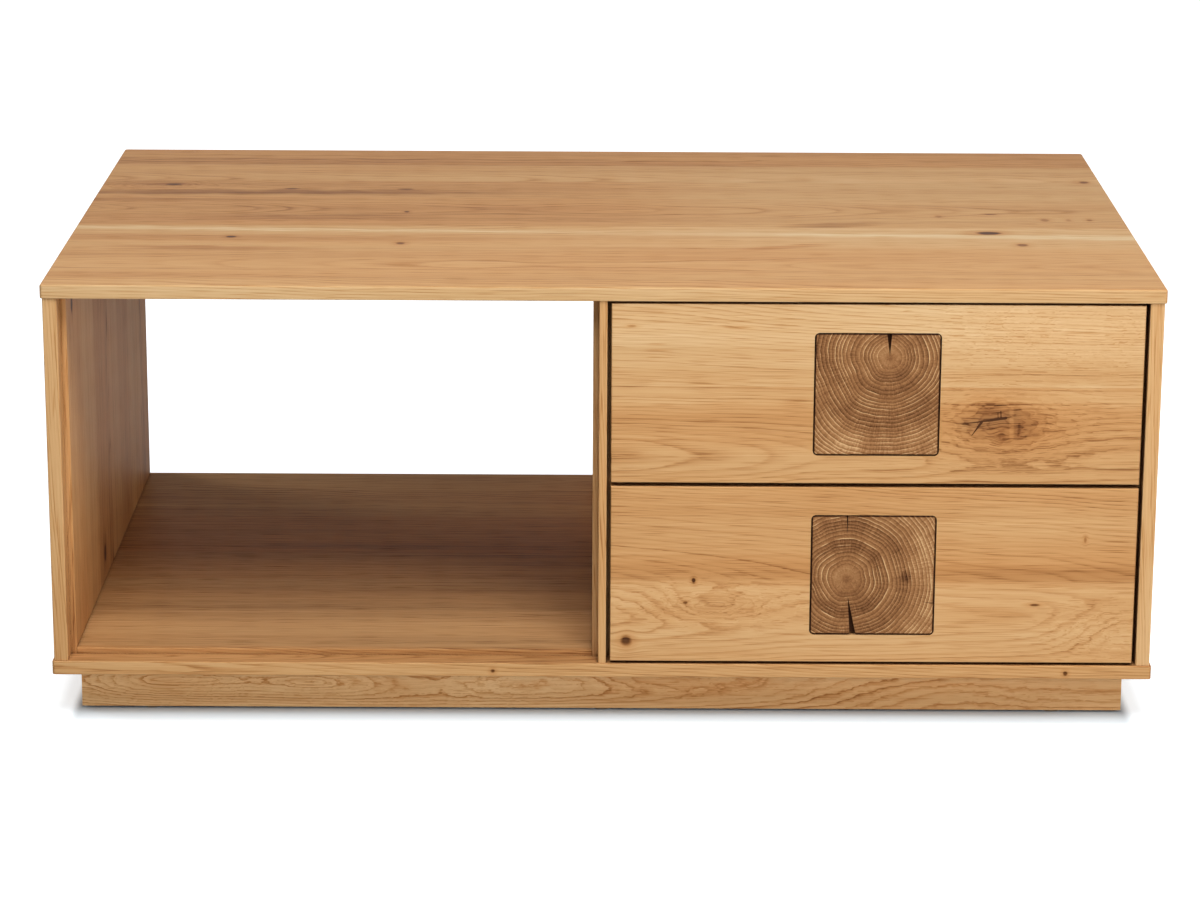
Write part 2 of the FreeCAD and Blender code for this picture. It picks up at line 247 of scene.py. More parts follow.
# %% [markdown]
# ## How oak grows
# A board is a slice of a tree. Its rings are long cones around the heart, so a cut that runs nearly along
# the trunk shows straight lines at the sides and pointed arches, called cathedrals, in the middle. The
# group works with three lengths: along the grain, across the board and into its depth. It finds the
# distance to the plank's own heart, which lies somewhere below the face and climbs slowly along the
# board, and turns that distance into rings. Early wood is full of pores, so dark dashes gather there.
# Because the pattern is solid, a board's end shows arcs of the same rings, as a sawn end does.

# %% The oak group
RING_WIDTH, RING_UNEVEN = 0.0031, 1.6
SEED_STEP = 17.3
# How far the rings stray from perfect cones, in metres
DRIFT, WANDER, FEATHER, CLIMB = 0.020, 0.0032, 0.0008, 0.030
# How strongly each pattern of the wood changes its tone or its hue
BANDS, CLOUDS, FIBRES, HUES = 0.32, 0.14, 0.36, 1.3
RINGS_DARKER, PORES_DARKER, TONE_LIFT = 0.19, 0.20, 0.08
# How rough the oiled face is, and the shares of the bump's depth that pores and rings sink by
OIL_ROUGHNESS, PORES_ROUGHER, FIBRES_ROUGHER = 0.52, 0.14, 0.12
PORES_DEEP, RINGS_DEEP = 0.7, 0.3
oak_tones = [
    (0.00, paint(74, 44, 24)),
    (0.20, paint(136, 88, 50)),
    (0.40, paint(180, 128, 78)),
    (0.55, paint(198, 147, 94)),
    (0.70, paint(210, 164, 112)),
    (0.85, paint(221, 181, 132)),
    (1.00, paint(234, 202, 156)),
]
warm_tint = (1.02, 0.93, 0.84)
plank_sockets = {"Tone": "Float", "Warmth": "Float", "Seed": "Float",
                 "Heart": "Float", "Deep": "Float", "Slope": "Float"}


def make_oak_group():
    group, have, leave = start_group(
        "oak_grain",
        {"Grain": "Vector", "Figure": "Float", **plank_sockets},
        {"Colour": "Color", "Roughness": "Float", "Height": "Float"},
    )
    along, across, depth = split(have["Grain"])
    seed_shift = have["Seed"] * SEED_STEP
    own = join(along + seed_shift, across + seed_shift, depth)

    drift = swing(own, (1.5, 8.0, 8.0))
    wander = swing(own, (9.0, 70.0, 70.0))
    feather = swing(own, (60.0, 900.0, 900.0), detail=1.0)
    sideways = across + drift * DRIFT + wander * WANDER - have["Heart"]
    climb = swing(own, (2.6, 0.5, 0.5))
    below = depth + have["Deep"] + have["Slope"] * along + climb * CLIMB
    radius = (sideways * sideways + below * below).calc("SQRT") + feather * FEATHER

    uneven = swing(join(radius, have["Seed"], 0.0), (70.0, 9.0, 1.0))
    rings = radius / RING_WIDTH + uneven * RING_UNEVEN
    in_ring = rings.calc("FRACT")
    ring_strength = chance(rings.calc("FLOOR") + seed_shift) * 0.8 + 0.2
    early_wood = ramp(in_ring, [(0.0, 0.1), (0.12, 1.0), (0.34, 0.35), (0.65, 0.0), (1.0, 0.1)])
    ring_line = early_wood * ring_strength * have["Figure"]

    dash_noise = noise(own, (24.0, 1300.0, 1300.0), detail=0.0)
    pores = fade(dash_noise + ring_line * 0.16, 0.58, 0.80)
    fibre = swing(own, (4.5, 360.0, 360.0), detail=4.0, rough=0.74)
    bands = swing(own, (0.8, 40.0, 40.0), detail=4.0)
    clouds = swing(own, (4.0, 11.0, 11.0))
    hue = swing(own, (1.3, 22.0, 22.0))

    tone = (have["Tone"] + bands * BANDS + clouds * CLOUDS + fibre * FIBRES
            - ring_line * RINGS_DARKER - pores * PORES_DARKER + TONE_LIFT)
    colour = ramp(tone, oak_tones)
    warmed = blend("MULTIPLY", have["Warmth"] + hue * HUES, colour, warm_tint)
    feed(leave.inputs["Colour"], warmed)
    feed(leave.inputs["Roughness"], pores * PORES_ROUGHER + fibre * FIBRES_ROUGHER + OIL_ROUGHNESS)
    feed(leave.inputs["Height"], pores * -PORES_DEEP - ring_line * RINGS_DEEP)
    return group


oak_grain = make_oak_group()
print(f"the oak group has {len(oak_grain.nodes)} nodes")

# %% [markdown]
# ## Knots, streaks and checks
# Where a branch left the trunk there is a knot: a dark core, and grain that flows round it like water
# round a stone. The knot group bends the across coordinate away from the knot's centre before the
# rings are drawn, which is cheaper than drawing rings that know about knots. Streaks of pale sapwood or dark
# mineral, and fine drying checks, are all soft or sharp lines between two points, so one group serves them.

# %% The knot and streak groups
EYE_LOOPS = 4.2
KNOT_RAGGED, KNOT_FALLOFF = 0.5, -0.45
# Where each part of a knot fades in, from outside inwards, in half sizes from its centre
CORE_FADE, HALO_FADE, EYE_FADE = (1.05, 0.35), (2.4, 0.7), (1.5, 0.9)
FRAY_FILL = 0.25


def make_knot_group():
    group, have, leave = start_group(
        "knot",
        {"Grain": "Vector", "Centre": "Vector", "Half Size": "Vector", "Pull": "Float", "Swell": "Float"},
        {"Grain": "Vector", "Core": "Float", "Halo": "Float", "Eye": "Float"},
    )
    along, across, depth = split(have["Grain"])
    offset = vector_calc("SUBTRACT", have["Grain"], have["Centre"])
    rough_edge = swing(have["Grain"], (70.0, 120.0, 30.0))
    distance = vector_calc("DIVIDE", offset, have["Half Size"])
    distance = vector_calc("LENGTH", distance, (0.0, 0.0, 0.0), "Value") + rough_edge * KNOT_RAGGED
    reach = (distance * distance * KNOT_FALLOFF).calc("EXPONENT")
    bent = across - split(offset)[1] * reach * have["Pull"]
    feed(leave.inputs["Grain"], join(along, bent, depth + reach * have["Swell"]))
    feed(leave.inputs["Core"], fade(distance, *CORE_FADE))
    feed(leave.inputs["Halo"], fade(distance, *HALO_FADE))
    loops = ramp((distance * EYE_LOOPS).calc("FRACT"), [(0.0, 0.0), (0.55, 0.1), (0.85, 1.0), (1.0, 0.0)])
    feed(leave.inputs["Eye"], loops * fade(distance, *EYE_FADE))
    return group


def make_streak_group():
    group, have, leave = start_group(
        "streak",
        {"Grain": "Vector", "Start": "Vector", "End": "Vector", "Half Width": "Float", "Taper": "Float",
         "Wobble": "Float", "Fray": "Float"},
        {"Mask": "Float"},
    )
    along, across, _ = split(have["Grain"])
    sway = swing(have["Grain"], (22.0, 40.0, 1.0)) * have["Wobble"]
    place = join(along, across + sway, 0.0)
    line = vector_calc("SUBTRACT", have["End"], have["Start"])
    away = vector_calc("SUBTRACT", place, have["Start"])
    covered = vector_calc("DOT_PRODUCT", away, line, "Value")
    length_squared = vector_calc("DOT_PRODUCT", line, line, "Value")
    nearest = (covered / length_squared).calc("MAXIMUM", 0.0).calc("MINIMUM", 1.0)
    foot = vector_calc("MULTIPLY", line, join(nearest, nearest, nearest))
    distance = vector_calc("DISTANCE", away, foot, "Value")
    half_width = have["Half Width"] * (nearest * have["Taper"] * -1.0 + 1.0)
    core = fade(distance / half_width, 1.0, 0.25)
    spindle = nearest * (nearest * -1.0 + 1.0) * 4.0
    strands = noise(have["Grain"], (9.0, 420.0, 1.0), detail=3.0)
    fibres = fade(strands + spindle * FRAY_FILL, 0.42, 0.72)
    frayed = spindle * fibres - 1.0
    feed(leave.inputs["Mask"], core * (frayed * have["Fray"] + 1.0))
    return group


knot_group = make_knot_group()
streak_group = make_streak_group()
print(f"the knot group has {len(knot_group.nodes)} nodes, the streak group {len(streak_group.nodes)}")

# %% [markdown]
# ## What makes a board its own
# A wide board is glued from planks, each from another part of the tree, and a branch or a vein of
# minerals leaves its mark at one place. One could paint all that as a picture, but a short list of
# planks, knots and streaks says it in numbers that can be moved one by one. These three classes hold them.

# %% Planks, knots and streaks
class Plank:
    """One plank: where it ends across the board, its look, and where its heart lies."""

    def __init__(self, edge, tone, warmth, heart, deep, slope):
        self.edge = edge
        self.tone = tone
        self.warmth = warmth
        self.heart = heart
        self.deep = deep
        self.slope = slope


class Knot:
    """A knot at a place along and across the board, with its half length, half width and darkness.

    Pull bends the grain round it, swell bulges the rings there, and eye draws closed loops in it.
    A knot runs right through the board, unless it is a pin that ends at a depth.
    """

    def __init__(self, along, across, half_length, half_width, dark=0.35, pull=0.8, swell=0.0, eye=0.0,
                 depth=0.0, half_depth=1.0):
        self.centre = (along, across, depth)
        self.half_size = (half_length, half_width, half_depth)
        self.dark = dark
        self.pull = pull
        self.swell = swell
        self.eye = eye


class Streak:
    """A line from one place on the board to another that is paler or darker, cooler or warmer.

    Taper is the share of its width that it loses on the way, and wobble how far it sways. A frayed
    streak breaks up into fibres and fades towards both ends.
    """

    def __init__(self, start, end, half_width, tone, warmth=0.0, wobble=0.0, taper=0.0, fray=0.0):
        self.start = (*start, 0.0)
        self.end = (*end, 0.0)
        self.half_width = half_width
        self.tone = tone
        self.warmth = warmth
        self.wobble = wobble
        self.taper = taper
        self.fray = fray


# %% [markdown]
# ## The start of every material
# All finishes here end in one Principled shader, are placed by Object coordinates, so that a pattern keeps
# its place in the table's frame, and have a shallow bump for what fingers feel: pores, fibres, a plating.

# %% Helpers for materials
BUMP_DEPTH = 0.00025


def new_material(name):
    """A material with an empty tree, its Principled shader and its output."""
    material = bpy.data.materials.new(name)
    material.use_nodes = True
    tree = material.node_tree
    tree.nodes.clear()
    shader = tree.nodes.new("ShaderNodeBsdfPrincipled")
    output = tree.nodes.new("ShaderNodeOutputMaterial")
    tree.links.new(shader.outputs["BSDF"], output.inputs["Surface"])
    return material, tree, shader


def coordinates(tree, kind="Object"):
    return Flow(tree.nodes.new("ShaderNodeTexCoord").outputs[kind])


def set_bump(tree, shader, height, depth=BUMP_DEPTH, strength=0.35):
    bump = tree.nodes.new("ShaderNodeBump")
    bump.inputs["Strength"].default_value = strength
    bump.inputs["Distance"].default_value = depth
    feed(bump.inputs["Height"], height)
    tree.links.new(bump.outputs["Normal"], shader.inputs["Normal"])


def dress(node, material):
    """Give a CAD piece its finish."""
    for slot in nodes[node].material_slots:
        slot.material = material


# %% [markdown]
# ## A glued oak board
# Tone and figure jump at every glue joint. A constant colour ramp across the board picks the plank's own
# numbers: a ramp's red, green and blue can carry any three values. A ramp cuts off what lies below zero,
# so each number goes in with 1 added and has it taken off again. Knots and streaks follow as a chain of
# groups, and the result goes into a shader with an oil finish that is neither matt nor glossy. Narrow gaps
# get painted shade: an Ambient Occlusion node with a reach of a few millimetres darkens the wood
# there. Unlike paint on the edges of a drawer, that darkness is gone when the drawer is pulled out.

# %% Oak boards
AXIS = {"X": 0, "Y": 1, "Z": 2}
RAMP_LIFT = 1.0
END_GRAIN_DARKER = 0.16
OIL_GLOSS, INNER_GLOSS = 0.08, 0.03
KNOT_WARMTH, HALO_SHARE = 0.2, 0.25
FIRST_SEED, NEXT_SEED = 0.13, 0.61
# how far, how strongly and how softly the painted shade in narrow gaps darkens the wood
GAP_REACH, GAP_SHADE_DARKER = 0.008, 0.9
GAP_FADE = (0.45, 0.10)


def plank_values(across, low, planks):
    """The numbers of the plank that a point lies in, by the names of the oak group's sockets."""
    high = planks[-1].edge
    share = (across - low) / (high - low)
    starts = [low] + [plank.edge for plank in planks[:-1]]
    places = [(start - low) / (high - low) for start in starts]
    looks = [(plank.tone, plank.warmth, FIRST_SEED + NEXT_SEED * index) for index, plank in enumerate(planks)]
    hearts = [(plank.heart, plank.deep, plank.slope) for plank in planks]
    found = []
    for triples in (looks, hearts):
        lifted = [tuple(value + RAMP_LIFT for value in triple) for triple in triples]
        picked = split(ramp(share, list(zip(places, lifted)), "CONSTANT"))
        found += [number - RAMP_LIFT for number in picked]
    return dict(zip(plank_sockets, found))


def gap_shade(tree):
    """Painted shade: 1 deep in a narrow gap between two pieces, 0 on open faces and in plain corners."""
    node = tree.nodes.new("ShaderNodeAmbientOcclusion")
    node.samples = 4
    node.inputs["Distance"].default_value = GAP_REACH
    return fade(Flow(node.outputs["AO"]), *GAP_FADE)


def oak_board(node, grain, across, planks, knots=(), streaks=(), figure=1.0, gloss=OIL_GLOSS):
    """Oak for one CAD board: grain and across name the axes that the planks run along and lie across.

    Figure is how strongly the rings stand out, and gloss how much the oil shines.
    """
    depth = ({"X", "Y", "Z"} - {grain, across}).pop()
    low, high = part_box(node)
    middle = (low[AXIS[depth]] + high[AXIS[depth]]) / 2
    material, tree, shader = new_material("oiled_" + node)
    place = split(coordinates(tree))
    plank = plank_values(place[AXIS[across]], low[AXIS[across]], planks)
    facing = split(coordinates(tree, "Normal"))[AXIS[grain]].calc("ABSOLUTE")
    # end grain is darker, and painted shade darkens the wood deep in narrow gaps between pieces
    plank["Tone"] = plank["Tone"] - facing * END_GRAIN_DARKER - gap_shade(tree) * GAP_SHADE_DARKER
    flow = join(place[AXIS[grain]], place[AXIS[across]], place[AXIS[depth]] - middle)

    for streak in streaks:
        found = use_group(tree, streak_group, Grain=flow, Start=streak.start, End=streak.end,
                          **{"Half Width": streak.half_width}, Taper=streak.taper, Wobble=streak.wobble,
                          Fray=streak.fray)
        plank["Tone"] = plank["Tone"] + found["Mask"] * streak.tone
        plank["Warmth"] = plank["Warmth"] + found["Mask"] * streak.warmth
    for knot in knots:
        found = use_group(tree, knot_group, Grain=flow, Centre=knot.centre, Pull=knot.pull,
                          Swell=knot.swell, **{"Half Size": knot.half_size})
        flow = found["Grain"]
        plank["Tone"] = plank["Tone"] - found["Core"] * knot.dark - found["Halo"] * (knot.dark * HALO_SHARE)
        if knot.eye:
            plank["Tone"] = plank["Tone"] - found["Eye"] * knot.eye
        plank["Warmth"] = plank["Warmth"] + found["Halo"] * KNOT_WARMTH

    oak = use_group(tree, oak_grain, Grain=flow, Figure=figure, **plank)
    feed(shader.inputs["Base Color"], oak["Colour"])
    feed(shader.inputs["Roughness"], oak["Roughness"])
    shader.inputs["Specular IOR Level"].default_value = gloss
    set_bump(tree, shader, oak["Height"])
    dress(node, material)
    print(f"{node}: {len(planks)} planks, {len(knots)} knots, {len(streaks)} streaks")


# %% [markdown]
# ## The table top
# The top is the first thing one sees: full-length planks of about 100 mm, one with a pale sapwood edge,
# and a scatter of small knots. Each place below is in metres in the table's own frame, read off the picture.

# %% Oak for the top
top_planks = [
    Plank(-0.273, 0.57, 0.12, -0.36, 0.10, 0.020),
    Plank(-0.167, 0.57, 0.20, -0.25, 0.09, -0.030),
    Plank(-0.066, 0.62, 0.05, -0.05, 0.12, 0.015),
    Plank(0.077, 0.47, 0.28, 0.02, 0.07, 0.035),
    Plank(0.169, 0.52, 0.15, 0.20, 0.11, -0.020),
    Plank(0.260, 0.57, 0.05, 0.18, 0.08, 0.025),
    Plank(0.300, 0.44, 0.50, 0.32, 0.14, 0.010),
    Plank(0.350, 0.49, 0.40, 0.26, 0.10, -0.015),
]
top_knots = [
    Knot(-0.471, 0.147, 0.011, 0.005, 0.45),
    Knot(-0.490, 0.140, 0.040, 0.016, 0.03, 0.5, 0.006, 0.10),
    Knot(-0.340, 0.126, 0.012, 0.004, 0.30),
    Knot(-0.384, -0.124, 0.006, 0.005, 0.50),
    Knot(-0.216, 0.126, 0.012, 0.006, 0.25),
    Knot(-0.209, 0.005, 0.004, 0.005, 0.40),
    Knot(-0.208, -0.153, 0.006, 0.006, 0.40),
    Knot(0.400, -0.090, 0.016, 0.009, 0.70),
    Knot(0.429, -0.148, 0.008, 0.008, 0.40),
    Knot(0.532, 0.181, 0.008, 0.008, 0.50),
    Knot(0.355, -0.006, 0.005, 0.006, 0.22),
    Knot(0.412, 0.005, 0.008, 0.004, 0.24),
    Knot(0.466, -0.023, 0.006, 0.009, 0.26),
    Knot(0.491, -0.023, 0.004, 0.007, 0.20),
    Knot(0.513, -0.022, 0.004, 0.007, 0.20),
]
top_streaks = [
    Streak((-0.56, -0.080), (0.56, -0.112), 0.017, 0.13, -0.35, 0.012),
    Streak((-0.60, -0.079), (0.00, -0.096), 0.015, 0.11, -0.20, 0.012, taper=0.9),
    Streak((0.62, -0.114), (0.18, -0.101), 0.018, 0.08, -0.20, 0.012, taper=0.9),
    Streak((-0.75, -0.122), (-0.05, -0.136), 0.024, -0.14, 0.10, 0.010, fray=1.0),
    Streak((0.170, -0.066), (0.310, -0.042), 0.018, -0.26, -0.30, 0.016, fray=1.0),
    Streak((0.130, -0.176), (0.245, -0.146), 0.012, -0.20, 0.50, 0.010, fray=1.0),
    Streak((-0.70, 0.103), (-0.04, 0.113), 0.020, -0.30, 0.10, 0.020, fray=1.0),
    Streak((-0.70, 0.058), (-0.24, 0.067), 0.014, -0.15, 0.10, 0.020, fray=1.0),
    Streak((-0.54, -0.175), (-0.26, -0.183), 0.015, -0.22, 0.10, 0.012, fray=1.0),
    Streak((-0.48, -0.032), (-0.14, -0.018), 0.020, -0.17, 0.00, 0.020, fray=1.0),
    Streak((-0.56, -0.3515), (0.56, -0.3515), 0.004, 0.08, -0.80),
    # painted light: the right part of the top is paler and cooler and its left part a little darker, as light
    # falling from the right makes it
    Streak((0.24, 0.040), (0.60, 0.040), 0.28, 0.085, -0.45),
    Streak((-0.60, 0.040), (-0.30, 0.040), 0.42, -0.035),
]
oak_board("top_panel", "X", "Y", top_planks, top_knots, top_streaks, figure=0.9)

# %% [markdown]
# ## The base, the sides and the divider
# The base repeats the top, but its middle planks are darker and cooler, which is painted shade for the shade
# in the open bay, and a pale line along its front edge keeps that edge out of it. In the uprights the grain
# stands, as it must where boards carry weight, so the same function is given other axes. Both sides share one
# list of planks, and the divider takes it too, apart from its first plank. The foot of the left side is
# darker, painted shade as well.

# %% Oak for the base and the uprights
# the middle planks are darker and cooler than the top's: painted shade for the open bay
base_planks_in_painted_shade = [
    Plank(-0.318, 0.40, -0.10, -0.33, 0.03, 0.060),
    Plank(-0.200, 0.42, -1.00, -0.16, 0.08, 0.030),
    Plank(-0.090, 0.355, -1.00, 0.02, 0.12, -0.025),
    Plank(0.010, 0.32, -0.60, 0.16, 0.12, 0.020),
    Plank(0.075, 0.32, -0.30, 0.22, 0.10, -0.030),
    Plank(0.150, 0.31, -0.30, 0.26, 0.10, 0.020),
    Plank(0.255, 0.41, -1.00, 0.30, 0.12, -0.015),
    Plank(0.350, 0.49, -1.00, 0.22, 0.12, 0.020),
]
# painted light: a pale line on the front edge lifts it back out of the planks' painted shade
base_streaks = [Streak((-0.56, -0.3515), (0.56, -0.3515), 0.004, 0.18, 0.05)]
base_pins = [
    Knot(-0.109, -0.350, 0.003, 0.006, 0.40, depth=-0.004, half_depth=0.003),
    Knot(0.464, -0.350, 0.003, 0.006, 0.45, depth=-0.004, half_depth=0.003),
]
oak_board("base_panel", "X", "Y", base_planks_in_painted_shade, base_pins, base_streaks, gloss=INNER_GLOSS)

upright_planks = [
    Plank(-0.347, 0.70, 0.20, -0.33, 0.06, 0.050),
    Plank(-0.235, 0.52, 0.25, -0.20, 0.07, -0.040),
    Plank(-0.130, 0.62, 0.00, -0.10, 0.11, 0.030),
    Plank(-0.020, 0.47, 0.30, -0.02, 0.08, 0.020),
    Plank(0.060, 0.59, 0.10, 0.08, 0.10, -0.030),
    Plank(0.150, 0.46, 0.25, 0.18, 0.07, 0.040),
    Plank(0.255, 0.58, 0.00, 0.28, 0.12, -0.020),
    Plank(0.348, 0.47, 0.20, 0.24, 0.09, 0.030),
]
left_knots = [
    Knot(0.410, -0.285, 0.011, 0.007, 0.50),
    Knot(0.096, 0.334, 0.016, 0.009, 0.55),
    Knot(0.094, -0.090, 0.012, 0.009, 0.50),
]
right_knots = [
    Knot(0.300, -0.080, 0.020, 0.010, 0.40),
    Knot(0.160, 0.210, 0.012, 0.006, 0.35),
]
# painted shade: the lower part of the left side is darker, on both its faces
left_foot_shade = [Streak((0.04, -0.36), (0.04, 0.36), 0.17, -0.15)]
oak_board("left_side_panel", "Z", "Y", upright_planks, left_knots, left_foot_shade, gloss=INNER_GLOSS)
oak_board("right_side_panel", "Z", "Y", upright_planks, right_knots, gloss=INNER_GLOSS)
divider_planks = [Plank(-0.315, 0.60, 0.20, -0.31, 0.06, 0.050)] + upright_planks[1:]
oak_board("divider_panel", "Z", "Y", divider_planks, gloss=INNER_GLOSS)

# %% [markdown]
# ## The back and the plinth
# The back closes the drawers off behind and has its planks lying. The plinth boards are narrow and flat
# sawn, so broad flames run along them. A swell, which is a knot with hardly any darkness and no pull, lifts
# the rings a little and so draws each flame.

# %% Oak for the back and the plinth
back_planks = [
    Plank(0.152, 0.54, 0.20, 0.10, 0.08, 0.030),
    Plank(0.246, 0.58, 0.10, 0.22, 0.10, -0.025),
    Plank(0.338, 0.52, 0.25, 0.30, 0.07, 0.035),
    Plank(0.431, 0.56, 0.15, 0.40, 0.09, -0.020),
]
oak_board("back_panel", "X", "Z", back_planks, [Knot(0.180, 0.200, 0.012, 0.007, 0.40)])
PLINTH_FIGURE = 2.0
# these planks are paler than the back's: painted light that lifts the shade under the base's overhang
plinth_front_planks = [Plank(0.045, 0.775, 1.25, 0.030, 0.020, 0.060)]
plinth_back_planks = [Plank(0.045, 0.64, 0.45, 0.015, 0.040, -0.030)]
plinth_swells = [
    Knot(-0.440, 0.028, 0.050, 0.018, 0.06, 0.0, 0.018),
    Knot(-0.190, 0.030, 0.070, 0.018, 0.03, 0.0, 0.020),
    Knot(0.060, 0.034, 0.060, 0.013, 0.06, 0.0, 0.015),
    Knot(0.330, 0.018, 0.080, 0.015, 0.00, 0.0, 0.012),
]
# painted light: the left part of the plinth front is paler, where the fill light falls off
plinth_painted_light = [Streak((-0.60, 0.022), (-0.20, 0.022), 0.30, 0.09)]
oak_board("plinth_front", "X", "Z", plinth_front_planks, plinth_swells, plinth_painted_light, PLINTH_FIGURE)
oak_board("plinth_back", "X", "Z", plinth_back_planks, plinth_swells[1:3], figure=PLINTH_FIGURE)
oak_board("plinth_left", "Y", "Z", plinth_front_planks, plinth_swells[2:3], figure=PLINTH_FIGURE)
oak_board("plinth_right", "Y", "Z", plinth_back_planks, plinth_swells[1:2], figure=PLINTH_FIGURE)

# %% [markdown]
# ## The drawer fronts
# Each front is glued from two planks. The upper one has a large knot with a forked check in it, as
# wild oak often does, and the lower one a round dark knot in its corner.

# %% Oak for the drawer fronts
upper_planks = [
    Plank(0.345, 0.54, 0.14, 0.275, 0.045, 0.030),
    Plank(0.4285, 0.70, -0.18, 0.460, 0.060, -0.110),
]
upper_knots = [
    Knot(0.3905, 0.308, 0.050, 0.027, 0.17, 0.25, 0.010, 0.10),
    Knot(0.470, 0.404, 0.070, 0.022, 0.0, 0.0, 0.018),
    Knot(0.416, 0.302, 0.018, 0.010, 0.06, 0.4),
    Knot(0.3926, 0.299, 0.005, 0.004, 0.08),
    Knot(0.380, 0.323, 0.016, 0.007, 0.10, 0.2),
    Knot(0.028, 0.406, 0.006, 0.0016, 0.30),
    Knot(0.131, 0.405, 0.016, 0.0014, 0.20),
]
upper_streaks = [
    Streak((0.396, 0.3145), (0.354, 0.3088), 0.0018, -1.0, taper=0.80, wobble=0.004),
    Streak((0.3725, 0.3105), (0.3630, 0.2965), 0.0016, -1.0, taper=0.80, wobble=0.002),
    Streak((0.3915, 0.3140), (0.3910, 0.3215), 0.0008, -0.28),
    Streak((0.3885, 0.3140), (0.3882, 0.3200), 0.0007, -0.20),
    Streak((0.4097, 0.3085), (0.4090, 0.2970), 0.0018, -0.10, 0.20, 0.003),
    Streak((0.4015, 0.3220), (0.4025, 0.2950), 0.0035, 0.10, 0.20, 0.004),
    Streak((0.404, 0.316), (0.356, 0.307), 0.010, -0.05, -0.55, 0.006),
    Streak((0.00, 0.356), (0.54, 0.356), 0.013, -0.08, 0.15, 0.010),
    Streak((0.00, 0.335), (0.54, 0.335), 0.012, 0.06, -0.10, 0.010),
]
oak_board("upper_drawer_front", "X", "Z", upper_planks, upper_knots, upper_streaks)

lower_planks = [
    Plank(0.1455, 0.645, 0.18, 0.110, 0.055, 0.030),
    Plank(0.243, 0.54, 0.25, 0.110, 0.080, 0.090),
]
lower_knots = [
    Knot(0.024, 0.083, 0.0072, 0.0072, 0.42),
    Knot(0.091, 0.146, 0.0025, 0.0035, 0.55),
    Knot(0.112, 0.121, 0.042, 0.013, 0.02, 0.0, 0.014, 0.12),
    Knot(0.083, 0.123, 0.003, 0.002, 0.40),
    Knot(0.431, 0.122, 0.007, 0.0018, 0.50),
    Knot(0.479, 0.190, 0.002, 0.004, 0.25),
    Knot(0.530, 0.094, 0.040, 0.018, 0.0, 0.0, 0.016),
]
lower_streaks = [
    Streak((0.00, 0.153), (0.54, 0.153), 0.022, -0.13, 0.20, 0.006),
    Streak((0.00, 0.141), (0.54, 0.141), 0.010, 0.06, -0.10, 0.004),
]
oak_board("lower_drawer_front", "X", "Z", lower_planks, lower_knots, lower_streaks)

# %% [markdown]
# ## End-grain tiles
# Each drawer front has a tile sawn across a small trunk, pith and all. Here the rings are circles, so
# the pattern is drawn in polar coordinates around the pith: pale lines where the pores of spring are
# filled with dust, brown late wood between them, and fine rays that run outwards like spokes.

# %% The end-grain material
TILE_RING, TILE_UNEVEN = 0.0038, 2.6
TILE_EDGE = 0.0011
TILE_LOBES, TILE_RIPPLE = 0.22, 0.0030
SAPWOOD_BLUR = 0.020
# How strongly each pattern of the tile changes its tone
TILE_CLOUDS, TILE_RAYS, TILE_DUST, TILE_SEASONS = 0.44, 0.42, 0.40, 0.50
# the last of these darkens the tile's rim and its checks: painted shade
SAPWOOD_PALER, PITH_DARKER, LATE_WOOD_DARKER, SEAM_SHADE_DARKER = 0.16, 0.10, 0.28, 0.6
PORES_PALER, PORES_PALER_AT_LEAST, TILE_TONE = 0.72, 0.18, 0.54
tile_tones = [
    (0.00, paint(58, 32, 16)),
    (0.25, paint(104, 66, 38)),
    (0.50, paint(142, 96, 58)),
    (0.75, paint(174, 126, 82)),
    (1.00, paint(214, 174, 124)),
]


